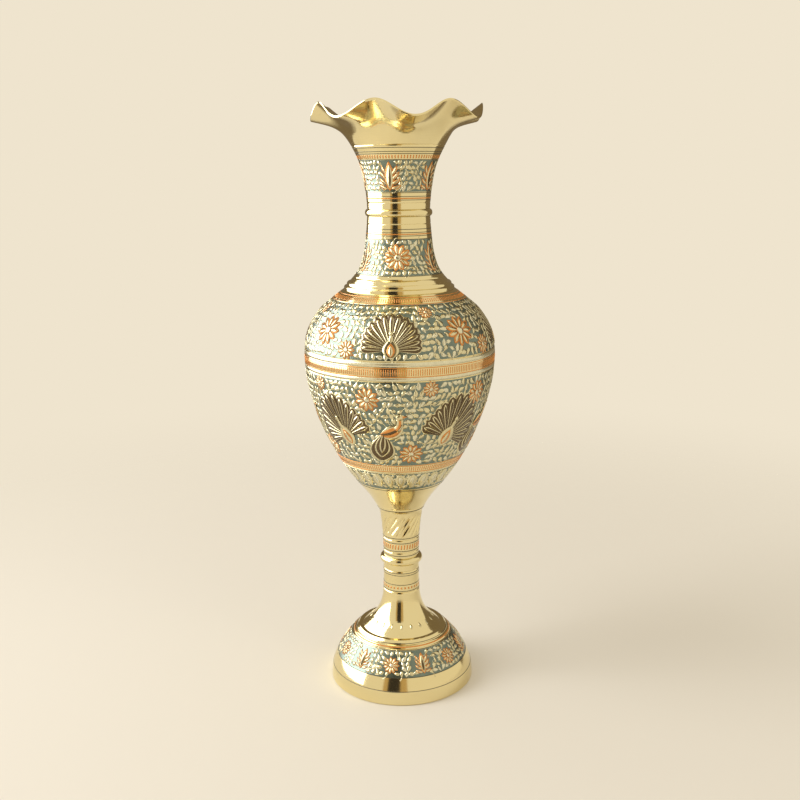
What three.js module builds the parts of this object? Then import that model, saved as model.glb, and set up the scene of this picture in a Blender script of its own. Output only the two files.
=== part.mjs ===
// A tall engraved brass vase: a domed foot, a turned stem, a belly made of two spun halves,
// a slim neck and a trumpet mouth whose lip is pressed into lobes.
// Millimetres, +Z up, origin at the centre of the resting plane, front towards -Y.
import * as THREE from 'three';

// Height of each section, from the resting plane upwards
const footHeight = 29.5;
const stemLowerHeight = 36.5;
const stemRingHeight = 4;
const stemUpperHeight = 26;
const bellyLowerHeight = 84;
const bellyUpperHeight = 34;
const collarHeight = 4;
const neckHeight = 32.5;
const neckRingHeight = 3.7;
const mouthHeight = 50.8;

// Outer radii
const footRadius = 39;
const footTopRadius = 23.4;
const stemFlangeRadius = 21.4;
const stemRadius = 9.6;
const stemRingRadius = 11.4;
const stemTopRadius = 11.7;
const bellyRadius = 49.3;
const shoulderRadius = 28.8;
const collarRadius = 28.2;
const neckBaseRadius = 25.4;
const neckRadius = 15.9;
const neckRingRadius = 17;
const flareRadius = 25.4;
const lipRadius = 43.2;

// Walls of the spun shells and of the turned stem
const shellWall = 1.4;
const lipWall = 0.9;
const stemWall = 1.6;

// Turned-in rim that the foot rests on
const rimWidth = 2.6;
const rimHeight = 3;
const rimChamfer = 0.6;

// Joints between sections: a spigot on one piece enters a bore in the next
const fitClearance = 0.3;
const neckBoreRadius = 14.4;
const neckSpigotDepth = 7;
const neckSpigotWall = 1.2;
const shoulderBoreRadius = 22;
const shoulderSpigotDepth = 8;
const stemBoreRadius = 8.2;
const stemSpigotDepth = 7;
const stemSpigotWall = 1.4;
const bellySpigotDepth = 7;
const footBoreRadius = 14;
const footSpigotDepth = 1.1;
const lapRingHeight = 10;
const lapRingWall = 1.2;
const lapClearance = 0.7;

// Tie rod that clamps foot, stem and belly together, with its washer and hexagon nut
const rodRadius = 3;
const rodTail = 2.5;
const rodSocketDepth = 11;
const socketRoof = 3.5;
const washerRadius = 18;
const washerThickness = 1.5;
const nutAcrossFlats = 10;
const nutThickness = 5;

// Lobes pressed into the lip
const lobeCount = 7;
const firstLobeTurn = THREE.MathUtils.degToRad(-15);
const lobeRise = 7.5;
const lobePull = 1.7;
const lobeRootRadius = 23;

// Facets round the axis
const wideFacets = 48;
const slimFacets = 28;
const lobeFacets = 9;

// Levels where the sections meet
const stemBase = footHeight;
const ringBase = stemBase + stemLowerHeight;
const ringTop = ringBase + stemRingHeight;
const bellyBase = ringTop + stemUpperHeight;
const waist = bellyBase + bellyLowerHeight;
const shoulder = waist + bellyUpperHeight;
const neckBase = shoulder + collarHeight;
const neckTop = neckBase + neckHeight;
const mouthBase = neckTop + neckRingHeight;
const overallHeight = mouthBase + mouthHeight;

function finish(color, roughness) {
  return new THREE.MeshStandardMaterial({ color, roughness, metalness: 1 });
}

function point(radius, height) {
  return new THREE.Vector2(radius, height);
}

// Smooth line through a few points of an outline.
function smooth(points, steps) {
  return new THREE.SplineCurve(points).getPoints(steps);
}

// The inside of a wall whose outside is a line drawn upwards.
function insideOf(line, wall) {
  return line.map((spot, index) => {
    const before = line[Math.max(index - 1, 0)];
    const after = line[Math.min(index + 1, line.length - 1)];
    const along = after.clone().sub(before).normalize();
    return point(spot.x - wall * along.y, spot.y + wall * along.x);
  });
}

// Brings both ends of an inside line level with the ends of its outside line.
function level(inside, outside) {
  inside[0].y = outside[0].y;
  inside[inside.length - 1].y = outside[outside.length - 1].y;
  return inside;
}

// Turns an outline about the axis. The outline runs up the outside and down the inside.
function turned(name, outline, facets, material) {
  const startsOnAxis = outline[0].x === 0;
  const loop = startsOnAxis ? outline : [...outline, outline[0].clone()];
  const geometry = new THREE.LatheGeometry(loop, facets);
  geometry.rotateX(Math.PI / 2);
  const mesh = new THREE.Mesh(geometry, material);
  mesh.name = name;
  return mesh;
}

// A plain ring whose outside face is a shallow half round.
function beadRing(name, base, height, radius, bore, material) {
  const rise = height / 2;
  const bulge = rise * 0.8;
  const arcSteps = 5;
  const outline = [point(bore, base)];
  for (let step = 0; step <= arcSteps; step += 1) {
    const turn = -Math.PI / 2 + (Math.PI * step) / arcSteps;
    const reach = radius - bulge + bulge * Math.cos(turn);
    outline.push(point(reach, base + rise + rise * Math.sin(turn)));
  }
  outline.push(point(bore, base + height));
  return turned(name, outline, slimFacets, material);
}

// Domed foot: flat top with a hole for the stem, a bell-shaped skirt and a turned-in rim.
function footDome(material) {
  const skirt = smooth(
    [
      point(footRadius, rimChamfer),
      point(footRadius - 0.9, footHeight * 0.27),
      point(footRadius - 4.6, footHeight * 0.54),
      point(footTopRadius + 5.4, footHeight * 0.81),
      point(footTopRadius, footHeight),
    ],
    9,
  );
  const inside = insideOf(skirt, shellWall).reverse();
  const belowTop = inside.filter((spot) => spot.y < footHeight - 1.5 * shellWall && spot.y > rimHeight);
  const outline = [
    point(footRadius - rimWidth, 0),
    point(footRadius - rimChamfer, 0),
    ...skirt,
    point(footBoreRadius, footHeight),
    point(footBoreRadius, footHeight - shellWall),
    point(footTopRadius - shellWall, footHeight - shellWall),
    ...belowTop,
    point(footRadius - rimWidth, rimHeight),
  ];
  return turned('foot_dome', outline, wideFacets, material);
}

// Lower stem: wide flange on the foot, trumpet-shaped rise and a spigot at the top.
function stemLower(material) {
  const rise = smooth(
    [
      point(stemFlangeRadius, stemBase),
      point(stemRadius + 5, stemBase + stemLowerHeight * 0.17),
      point(stemRadius + 1.4, stemBase + stemLowerHeight * 0.37),
      point(stemRadius + 0.2, stemBase + stemLowerHeight * 0.61),
      point(stemRadius, ringBase),
    ],
    9,
  );
  const spigotRadius = stemBoreRadius - fitClearance;
  const boreRadius = spigotRadius - stemSpigotWall;
  const rimRadius = footBoreRadius - fitClearance;
  const hollow = insideOf(rise, stemWall)
    .filter((spot) => spot.x > boreRadius + 0.2 && spot.x < rimRadius - stemWall - 0.3)
    .reverse();
  const outline = [
    point(rimRadius - stemWall, stemBase - footSpigotDepth),
    point(rimRadius, stemBase - footSpigotDepth),
    point(rimRadius, stemBase),
    ...rise,
    point(spigotRadius, ringBase),
    point(spigotRadius, ringBase + stemSpigotDepth),
    point(boreRadius, ringBase + stemSpigotDepth),
    point(boreRadius, stemBase + stemLowerHeight * 0.45),
    ...hollow,
  ];
  return turned('stem_lower', outline, slimFacets, material);
}

// Upper stem: a tapered tube that carries the belly.
function stemUpper(material) {
  const taper = smooth(
    [
      point(stemRadius, ringTop),
      point(stemRadius + 0.1, ringTop + stemUpperHeight * 0.3),
      point((stemRadius + stemTopRadius) / 2 - 0.15, ringTop + stemUpperHeight * 0.7),
      point(stemTopRadius, bellyBase),
    ],
    6,
  );
  const outline = [
    point(stemBoreRadius, ringTop),
    ...taper,
    point(stemBoreRadius, bellyBase),
  ];
  return turned('stem_upper', outline, slimFacets, material);
}

// Lower half of the belly: closed floor, spigot below it and a blind socket for the tie rod.
function bellyLower(material) {
  const side = smooth(
    [
      point(stemTopRadius, bellyBase),
      point(bellyRadius * 0.34, bellyBase + bellyLowerHeight * 0.1),
      point(bellyRadius * 0.5, bellyBase + bellyLowerHeight * 0.22),
      point(bellyRadius * 0.69, bellyBase + bellyLowerHeight * 0.39),
      point(bellyRadius * 0.86, bellyBase + bellyLowerHeight * 0.61),
      point(bellyRadius * 0.97, bellyBase + bellyLowerHeight * 0.83),
      point(bellyRadius, waist),
    ],
    11,
  );
  const spigotRadius = stemBoreRadius - fitClearance;
  const socketRadius = rodRadius + fitClearance;
  const spigotBase = bellyBase - bellySpigotDepth;
  const socketTop = spigotBase + rodSocketDepth;
  const floor = socketTop + socketRoof;
  const hollow = level(insideOf(side, shellWall), side)
    .filter((spot) => spot.y > floor + shellWall)
    .reverse();
  const outline = [
    point(0, socketTop),
    point(socketRadius, socketTop),
    point(socketRadius, spigotBase),
    point(spigotRadius, spigotBase),
    point(spigotRadius, bellyBase),
    ...side,
    ...hollow,
    point(stemTopRadius, floor),
    point(0, floor),
  ];
  return turned('belly_lower', outline, wideFacets, material);
}

// Upper half of the belly: rounded shoulder with a flat seat round the neck hole.
function bellyUpper(material) {
  const side = smooth(
    [
      point(bellyRadius, waist),
      point(bellyRadius * 0.985, waist + bellyUpperHeight * 0.25),
      point(bellyRadius * 0.935, waist + bellyUpperHeight * 0.47),
      point(bellyRadius * 0.825, waist + bellyUpperHeight * 0.71),
      point(bellyRadius * 0.7, waist + bellyUpperHeight * 0.87),
      point(shoulderRadius, shoulder),
    ],
    9,
  );
  const hollow = level(insideOf(side, shellWall), side)
    .filter((spot) => spot.y < shoulder - shellWall)
    .reverse();
  const outline = [
    ...side,
    point(shoulderBoreRadius, shoulder),
    point(shoulderBoreRadius, shoulder - shellWall),
    ...hollow,
  ];
  return turned('belly_upper', outline, wideFacets, material);
}

// Strip brazed inside the waist, lapping both halves of the belly.
function waistLapRing(material) {
  const outer = bellyRadius - shellWall - lapClearance;
  const base = waist - lapRingHeight / 2;
  const outline = [
    point(outer - lapRingWall, base),
    point(outer, base),
    point(outer, base + lapRingHeight),
    point(outer - lapRingWall, base + lapRingHeight),
  ];
  return turned('waist_lap_ring', outline, wideFacets, material);
}

// Stepped collar between shoulder and neck.
function shoulderCollar(material) {
  const step = (collarRadius - neckBaseRadius) / 2;
  const outline = [
    point(shoulderBoreRadius, shoulder),
    point(collarRadius, shoulder),
    point(collarRadius, shoulder + collarHeight * 0.45),
    point(collarRadius - step, shoulder + collarHeight * 0.55),
    point(collarRadius - step, shoulder + collarHeight * 0.85),
    point(collarRadius - step * 1.3, neckBase),
    point(shoulderBoreRadius, neckBase),
  ];
  return turned('shoulder_collar', outline, wideFacets, material);
}

// Lower neck: sweeps up from the collar, with a spigot that enters the belly.
function neckLower(material) {
  const sweep = smooth(
    [
      point(neckBaseRadius, neckBase),
      point(neckRadius + 4.7, neckBase + neckHeight * 0.19),
      point(neckRadius + 2, neckBase + neckHeight * 0.43),
      point(neckRadius + 0.7, neckBase + neckHeight * 0.72),
      point(neckRadius, neckTop),
    ],
    9,
  );
  const spigotRadius = shoulderBoreRadius - fitClearance;
  const spigotBore = spigotRadius - shellWall;
  const hollow = insideOf(sweep, shellWall)
    .filter((spot) => spot.x < spigotBore - 0.3 && spot.x > neckBoreRadius + 0.2)
    .reverse();
  const outline = [
    point(spigotBore, neckBase - shoulderSpigotDepth),
    point(spigotRadius, neckBase - shoulderSpigotDepth),
    point(spigotRadius, neckBase),
    ...sweep,
    point(neckBoreRadius, neckTop),
    point(neckBoreRadius, neckTop - neckSpigotDepth - fitClearance),
    ...hollow,
    point(spigotBore, neckBase + shellWall),
  ];
  return turned('neck_lower', outline, slimFacets, material);
}

// Lifts and draws in the lip so that it stands in even lobes.
function pressLobes(geometry) {
  const places = geometry.attributes.position;
  const spot = new THREE.Vector3();
  for (let index = 0; index < places.count; index += 1) {
    spot.fromBufferAttribute(places, index);
    const radius = Math.hypot(spot.x, spot.y);
    const share = (radius - lobeRootRadius) / (lipRadius - lobeRootRadius);
    const reach = THREE.MathUtils.clamp(share, 0, 1);
    const turn = Math.atan2(spot.x, -spot.y);
    const wave = 0.5 + 0.5 * Math.cos(lobeCount * turn);
    const shrink = 1 - (lobePull * reach * wave) / radius;
    const lift = lobeRise * reach ** 1.4 * wave;
    places.setXYZ(index, spot.x * shrink, spot.y * shrink, spot.z + lift);
  }
  geometry.rotateZ(firstLobeTurn);
  geometry.computeVertexNormals();
}

// Mouth: slim throat, trumpet flare and a thin lip pressed into lobes.
function mouthFlare(material) {
  const lipHeight = overallHeight - lobeRise - lipWall;
  const throat = smooth(
    [
      point(neckRadius - 0.1, mouthBase),
      point(neckRadius + 0.8, mouthBase + mouthHeight * 0.2),
      point(neckRadius + 3.3, mouthBase + mouthHeight * 0.43),
      point(flareRadius, mouthBase + mouthHeight * 0.665),
      point(lipRadius * 0.74, lipHeight - 3.1),
      point(lipRadius, lipHeight),
    ],
    10,
  );
  const spigotRadius = neckBoreRadius - fitClearance;
  const spigotBore = spigotRadius - neckSpigotWall;
  const spigotBase = mouthBase - neckRingHeight - neckSpigotDepth;
  const hollow = insideOf(throat, shellWall)
    .map((spot, index) => {
      const thin = ((shellWall - lipWall) * index) / (throat.length - 1);
      return spot.lerp(throat[index], thin / shellWall);
    })
    .slice(1, -1)
    .reverse();
  const outline = [
    point(spigotBore, spigotBase),
    point(spigotRadius, spigotBase),
    point(spigotRadius, mouthBase),
    ...throat,
    point(lipRadius - 0.2, lipHeight + lipWall),
    ...hollow,
    point(spigotBore, mouthBase),
  ];
  const mesh = turned('mouth_flare', outline, lobeCount * lobeFacets, material);
  pressLobes(mesh.geometry);
  return mesh;
}

// Tie rod from the socket under the belly down through stem and foot.
function tieRod(material) {
  const spigotBase = bellyBase - bellySpigotDepth;
  const top = spigotBase + rodSocketDepth - fitClearance;
  const bottom = footHeight - shellWall - washerThickness - nutThickness - rodTail;
  const outline = [
    point(0, bottom),
    point(rodRadius, bottom),
    point(rodRadius, top),
    point(0, top),
  ];
  return turned('tie_rod', outline, 16, material);
}

function footWasher(material) {
  const top = footHeight - shellWall;
  const bore = rodRadius + fitClearance;
  const outline = [
    point(bore, top - washerThickness),
    point(washerRadius, top - washerThickness),
    point(washerRadius, top),
    point(bore, top),
  ];
  return turned('foot_washer', outline, slimFacets, material);
}

function footNut(material) {
  const corner = nutAcrossFlats / 2 / Math.cos(Math.PI / 6);
  const shape = new THREE.Shape();
  for (let side = 0; side < 6; side += 1) {
    const turn = (Math.PI / 3) * side;
    const method = side === 0 ? 'moveTo' : 'lineTo';
    shape[method](corner * Math.cos(turn), corner * Math.sin(turn));
  }
  const hole = new THREE.Path();
  hole.absarc(0, 0, rodRadius + fitClearance, 0, Math.PI * 2, true);
  shape.holes.push(hole);
  const options = { depth: nutThickness, bevelEnabled: false, curveSegments: 8 };
  const geometry = new THREE.ExtrudeGeometry(shape, options);
  geometry.translate(0, 0, footHeight - shellWall - washerThickness - nutThickness);
  const mesh = new THREE.Mesh(geometry, material);
  mesh.name = 'foot_nut';
  return mesh;
}

const engravedBrass = () => finish(0xd3b866, 0.22);
const polishedBrass = () => finish(0xdcbf6a, 0.16);
const rawBrass = () => finish(0xb08d4a, 0.5);
const steel = () => finish(0x9a9a98, 0.45);

const vase = new THREE.Group();
vase.name = 'brass_vase';
vase.add(
  footDome(engravedBrass()),
  stemLower(polishedBrass()),
  beadRing('stem_ring', ringBase, stemRingHeight, stemRingRadius, stemBoreRadius, polishedBrass()),
  stemUpper(engravedBrass()),
  bellyLower(engravedBrass()),
  bellyUpper(engravedBrass()),
  waistLapRing(rawBrass()),
  shoulderCollar(polishedBrass()),
  neckLower(engravedBrass()),
  beadRing('neck_ring', neckTop, neckRingHeight, neckRingRadius, neckBoreRadius, polishedBrass()),
  mouthFlare(engravedBrass()),
  tieRod(steel()),
  footWasher(rawBrass()),
  footNut(steel()),
);

export default vase;
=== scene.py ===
"""A tall engraved brass vase with coloured lac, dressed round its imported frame."""

import logging
import math
import random
from bisect import bisect_right
from dataclasses import dataclass, field
from enum import Enum
from functools import cache

import bmesh
import bpy
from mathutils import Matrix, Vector


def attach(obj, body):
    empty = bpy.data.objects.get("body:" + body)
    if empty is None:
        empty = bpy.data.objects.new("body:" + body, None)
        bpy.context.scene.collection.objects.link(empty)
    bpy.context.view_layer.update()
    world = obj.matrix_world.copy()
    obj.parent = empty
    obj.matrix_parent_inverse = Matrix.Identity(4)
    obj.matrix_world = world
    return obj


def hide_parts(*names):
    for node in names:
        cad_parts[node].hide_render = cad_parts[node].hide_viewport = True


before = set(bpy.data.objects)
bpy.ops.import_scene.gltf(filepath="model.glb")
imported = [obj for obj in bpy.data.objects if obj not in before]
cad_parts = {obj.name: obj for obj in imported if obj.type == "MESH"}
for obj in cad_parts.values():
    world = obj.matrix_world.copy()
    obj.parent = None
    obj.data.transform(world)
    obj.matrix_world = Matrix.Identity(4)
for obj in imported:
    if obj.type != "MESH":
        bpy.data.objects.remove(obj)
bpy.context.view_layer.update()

LOG = logging.getLogger("vase")
MM = 0.001
FULL_TURN = 2 * math.pi
UPRIGHT = math.pi / 2
MERGE_REACH = 1e-7
SHARP_ANGLE = math.radians(38)

Pair = tuple[float, float]
Profile = tuple[Pair, ...]
Triple = tuple[float, float, float]


class Ink(Enum):
    """The colours that fill or outline the ornament."""

    GOLD = "gold"
    ORANGE = "orange"
    BROWN = "brown"
    CREAM = "cream"
    DARK = "dark"


class Blade(Enum):
    """How the width of a drawn stroke runs from its root to its tip."""

    LEAF = "leaf"
    PETAL = "petal"
    DISC = "disc"
    LINE = "line"
    SPEAR = "spear"
    FEATHER = "feather"

    def width(self, share: float) -> float:
        """Finds the stroke's width part of the way along it.

        Args:
            share: how far along the stroke, from 0 at the root to 1 at the tip.

        Returns:
            The half width there, as a share of the widest.
        """
        if self is Blade.LEAF:
            return max(0.0, math.sin(math.pi * share**0.85)) ** 0.9
        if self is Blade.PETAL:
            return math.sin(math.pi * min(1.0, share**1.5 + 0.02) * 0.97) ** 0.7
        if self is Blade.DISC:
            return math.sqrt(max(0.0, 1 - (2 * share - 1) ** 2))
        if self is Blade.SPEAR:
            return 1 - share
        if self is Blade.FEATHER:
            widest = 0.78
            crown = max(0.0, (share - widest) / (1 - widest))
            return min(1.0, share / widest) ** 0.8 * math.sqrt(max(0.0, 1 - crown**2))
        return 1.0


class Nodes:
    """Small helper that lays out and links shader nodes."""

    def __init__(self, name: str) -> None:
        """Starts a material with one shader.

        Args:
            name: the material's name.
        """
        self.material = bpy.data.materials.new(name)
        self.material.use_nodes = True
        self.tree = self.material.node_tree
        self.tree.nodes.clear()
        self.shader = self.add("ShaderNodeBsdfPrincipled")
        output = self.add("ShaderNodeOutputMaterial")
        self.link(self.shader.outputs["BSDF"], output.inputs["Surface"])
        self.place = self.add("ShaderNodeTexCoord").outputs["Object"]

    def add(self, kind: str, **settings: object) -> bpy.types.Node:
        """Adds a node.

        Args:
            kind: Blender's name for the node.
            **settings: values of the node's own properties.

        Returns:
            The new node.
        """
        node = self.tree.nodes.new(kind)
        for key, value in settings.items():
            setattr(node, key, value)
        return node

    def link(self, start: bpy.types.NodeSocket, end: bpy.types.NodeSocket) -> None:
        """Links an output socket to an input socket."""
        self.tree.links.new(start, end)

    def set(self, **values: object) -> None:
        """Sets the shader's own sockets, named with underscores for spaces."""
        for key, value in values.items():
            self.shader.inputs[key.replace("_", " ")].default_value = value

    def noise(self, scale: float, detail: float = 3.0) -> bpy.types.NodeSocket:
        """Adds a noise texture in object space.

        Args:
            scale: how fine it is, per metre.
            detail: how many finer layers it has.

        Returns:
            The socket of its value.
        """
        node = self.add("ShaderNodeTexNoise")
        node.inputs["Scale"].default_value = scale
        node.inputs["Detail"].default_value = detail
        self.link(self.place, node.inputs["Vector"])
        return node.outputs["Fac"]

    def math(self, operation: str, first: object, second: object = 0.0) -> bpy.types.NodeSocket:
        """Joins two values by an operation.

        Args:
            operation: the name of the operation.
            first: a socket or a number.
            second: a socket or a number.

        Returns:
            The result's socket.
        """
        node = self.add("ShaderNodeMath", operation=operation)
        for index, value in enumerate((first, second)):
            if isinstance(value, (int, float)):
                node.inputs[index].default_value = value
            else:
                self.link(value, node.inputs[index])
        return node.outputs[0]

    def spread(self, value: bpy.types.NodeSocket, low: float, high: float) -> bpy.types.NodeSocket:
        """Maps a value from 0..1 to another range.

        Args:
            value: the value's socket.
            low: what 0 becomes.
            high: what 1 becomes.

        Returns:
            The result's socket.
        """
        node = self.add("ShaderNodeMapRange")
        node.inputs["To Min"].default_value = low
        node.inputs["To Max"].default_value = high
        self.link(value, node.inputs["Value"])
        return node.outputs["Result"]

    def blend(self, share: bpy.types.NodeSocket, low: object, high: object) -> bpy.types.NodeSocket:
        """Mixes two colours.

        Args:
            share: how much of the second colour shows.
            low: the first colour, a socket or an RGB tuple.
            high: the second colour, a socket or an RGB tuple.

        Returns:
            The mixed colour's socket.
        """
        node = self.add("ShaderNodeMix", data_type="RGBA")
        self.link(share, node.inputs["Factor"])
        for socket, value in ((node.inputs[6], low), (node.inputs[7], high)):
            if isinstance(value, tuple):
                socket.default_value = (*value, 1.0)
            else:
                self.link(value, socket)
        return node.outputs[2]

    def bump(self, height: bpy.types.NodeSocket, depth: float, strength: float) -> None:
        """Feeds a height into the shader's normal.

        Args:
            height: the height's socket.
            depth: how deep the relief is, in metres.
            strength: how much of it shows.
        """
        node = self.add("ShaderNodeBump")
        node.inputs["Strength"].default_value = strength
        node.inputs["Distance"].default_value = depth
        self.link(height, node.inputs["Height"])
        self.link(node.outputs["Normal"], self.shader.inputs["Normal"])


@dataclass(frozen=True)
class BrassFinish:
    """Spun and polished brass, with coloured ground in the ornament's bands."""

    name: str
    colour: Triple = (0.86, 0.77, 0.46)
    warm: Triple = (0.80, 0.62, 0.27)
    ground: Triple = (0.25, 0.31, 0.26)
    roughness: float = 0.1
    bands: tuple[Pair, ...] = ()

    TARNISH_SCALE = 38.0
    SMEAR_SCALE = 90.0
    TURNING_MARKS = 9000.0
    TURNING_DEPTH = 0.00001
    PUNCH_SCALE = 1300.0
    PUNCH_DEPTH = 0.00006
    SPECKLE_SCALE = 260.0
    GROUND_ROUGHER = 0.16
    GROUND_LESS_METAL = 0.1

    def build(self) -> bpy.types.Material:
        """Makes the finish.

        Returns:
            The finish as a material.
        """
        nodes = Nodes(self.name)
        tarnish = nodes.spread(nodes.noise(self.TARNISH_SCALE), 0.0, 0.5)
        colour = nodes.blend(tarnish, self.colour, self.warm)
        smear = nodes.noise(self.SMEAR_SCALE, 5.0)
        rough = nodes.spread(smear, self.roughness * 0.7, self.roughness * 1.5)
        split = nodes.add("ShaderNodeSeparateXYZ")
        nodes.link(nodes.place, split.inputs[0])
        height = split.outputs["Z"]
        rings = nodes.math("SINE", nodes.math("MULTIPLY", height, self.TURNING_MARKS))
        mask = self.band_mask(nodes, height)
        if mask is None:
            nodes.bump(rings, self.TURNING_DEPTH, 0.25)
            nodes.set(Metallic=1.0)
        else:
            colour = nodes.blend(mask, colour, self.engraved_ground(nodes))
            rough = nodes.math("ADD", rough, nodes.math("MULTIPLY", mask, self.GROUND_ROUGHER))
            self.punch(nodes, mask, rings)
            loss = nodes.math("MULTIPLY", mask, self.GROUND_LESS_METAL)
            nodes.link(nodes.math("SUBTRACT", 1.0, loss), nodes.shader.inputs["Metallic"])
        nodes.link(colour, nodes.shader.inputs["Base Color"])
        nodes.link(rough, nodes.shader.inputs["Roughness"])
        return nodes.material

    def band_mask(self, nodes: Nodes, height: bpy.types.NodeSocket) -> bpy.types.NodeSocket | None:
        """Marks the engraved bands.

        Args:
            nodes: the material's nodes.
            height: the socket of the height above the table.

        Returns:
            A socket that is 1 inside the bands, or None where there are no bands.
        """
        mask = None
        for low, high in self.bands:
            above = nodes.math("GREATER_THAN", height, low * MM)
            below = nodes.math("LESS_THAN", height, high * MM)
            inside = nodes.math("MULTIPLY", above, below)
            mask = inside if mask is None else nodes.math("ADD", mask, inside)
        return mask

    def engraved_ground(self, nodes: Nodes) -> bpy.types.NodeSocket:
        """Mixes the speckled ground behind the leaves.

        Args:
            nodes: the material's nodes.

        Returns:
            The socket of its colour.
        """
        speckle = nodes.spread(nodes.noise(self.SPECKLE_SCALE, 4.0), 0.0, 1.0)
        return nodes.blend(speckle, self.ground, tuple(part * 0.55 for part in self.ground))

    def punch(self, nodes: Nodes, mask: bpy.types.NodeSocket, rings: bpy.types.NodeSocket) -> None:
        """Stipples the ground with punch marks, over faint turning marks.

        Args:
            nodes: the material's nodes.
            mask: 1 inside the bands.
            rings: the height of the turning marks.
        """
        marks = nodes.add("ShaderNodeTexVoronoi")
        marks.inputs["Scale"].default_value = self.PUNCH_SCALE
        nodes.link(nodes.place, marks.inputs["Vector"])
        stipple = nodes.math("MULTIPLY", marks.outputs["Distance"], mask)
        nodes.bump(nodes.math("ADD", stipple, nodes.math("MULTIPLY", rings, 0.1)), self.PUNCH_DEPTH, 0.4)


@dataclass(frozen=True)
class LacFinish:
    """Coloured lac or bright cut metal, as it fills the ornament."""

    name: str
    colour: Triple
    metallic: float
    roughness: float

    WEAR_SCALE = 420.0
    SMEAR_SCALE = 700.0
    GRAIN_SCALE = 1500.0
    GRAIN_DEPTH = 0.00003

    def build(self) -> bpy.types.Material:
        """Makes the finish.

        Returns:
            The finish as a material.
        """
        nodes = Nodes(self.name)
        dull = tuple(part * 0.62 for part in self.colour)
        wear = nodes.spread(nodes.noise(self.WEAR_SCALE, 4.0), 0.0, 0.8)
        nodes.link(nodes.blend(wear, self.colour, dull), nodes.shader.inputs["Base Color"])
        rough = nodes.spread(nodes.noise(self.SMEAR_SCALE), self.roughness * 0.8, self.roughness * 1.3)
        nodes.link(rough, nodes.shader.inputs["Roughness"])
        nodes.set(Metallic=self.metallic)
        nodes.bump(nodes.noise(self.GRAIN_SCALE), self.GRAIN_DEPTH, 0.35)
        return nodes.material


INKS = {
    Ink.GOLD: LacFinish("bright_cut_gold", (0.88, 0.80, 0.50), 0.95, 0.2),
    Ink.ORANGE: LacFinish("orange_lac", (0.86, 0.35, 0.08), 0.35, 0.25),
    Ink.BROWN: LacFinish("brown_lac", (0.15, 0.10, 0.045), 0.6, 0.25),
    Ink.CREAM: LacFinish("cream_lac", (0.90, 0.86, 0.62), 0.8, 0.22),
    Ink.DARK: LacFinish("dark_line", (0.10, 0.09, 0.06), 0.5, 0.4),
}


@cache
def materials() -> dict[Ink, bpy.types.Material]:
    """Returns the inks' materials, made once."""
    return {ink: finish.build() for ink, finish in INKS.items()}


@dataclass(frozen=True)
class Outline:
    """The smooth outer line of one section, drawn upwards as (radius, height) in millimetres."""

    points: Profile
    step: float = 0.9

    def line(self) -> list[Vector]:
        """Draws a smooth curve through the points.

        Returns:
            Closely spaced points along it.
        """
        spots = [Vector(spot) for spot in self.points]
        made: list[Vector] = []
        for index in range(len(spots) - 1):
            before = spots[max(index - 1, 0)]
            start, end = spots[index], spots[index + 1]
            after = spots[min(index + 2, len(spots) - 1)]
            count = max(2, round((end - start).length / self.step))
            for number in range(count):
                share = number / count
                leave, arrive = (end - before) / 2, (after - start) / 2
                cube = (2 * start - 2 * end + leave + arrive) * share**3
                square = (3 * end - 3 * start - 2 * leave - arrive) * share**2
                made.append(cube + square + leave * share + start)
        made.append(spots[-1])
        return made


class Track:
    """Finds places on a section's surface by height and by distance round it."""

    def __init__(self, outline: Outline) -> None:
        """Measures the outline.

        Args:
            outline: the section's outer line.
        """
        self.line = outline.line()
        self.heights = [spot.y for spot in self.line]
        self.arcs = [0.0]
        for start, end in zip(self.line, self.line[1:]):
            self.arcs.append(self.arcs[-1] + (end - start).length)

    def arc_at(self, height: float) -> float:
        """Finds a height's place on the outline.

        Args:
            height: the height, in millimetres.

        Returns:
            The distance along the outline.
        """
        index = min(max(bisect_right(self.heights, height) - 1, 0), len(self.line) - 2)
        low, high = self.heights[index], self.heights[index + 1]
        share = (height - low) / max(high - low, 1e-6)
        return self.arcs[index] + share * (self.arcs[index + 1] - self.arcs[index])

    def at(self, arc: float) -> tuple[Vector, Vector]:
        """Finds a place on the outline.

        Args:
            arc: the distance along the outline.

        Returns:
            The point there and the outward direction.
        """
        index = min(max(bisect_right(self.arcs, arc) - 1, 0), len(self.line) - 2)
        start, end = self.line[index], self.line[index + 1]
        share = (arc - self.arcs[index]) / max(self.arcs[index + 1] - self.arcs[index], 1e-6)
        along = (end - start).normalized()
        return start.lerp(end, share), Vector((along.y, -along.x))

    def place(self, turn: float, arc: float, side: float, up: float, lift: float) -> Vector:
        """Puts a flat drawing's point on the surface.

        Args:
            turn: the drawing's place round the axis, in radians from the front.
            arc: its place along the outline, in millimetres.
            side: the point's distance to the right in the drawing.
            up: its distance up in the drawing.
            lift: how far it stands off the surface.

        Returns:
            The point in metres.
        """
        spot, out = self.at(arc + up)
        angle = turn + side / max(spot.x, 1.0)
        reach = spot.x + out.x * lift
        height = spot.y + out.y * lift
        return Vector((reach * math.sin(angle), -reach * math.cos(angle), height)) * MM


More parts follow.
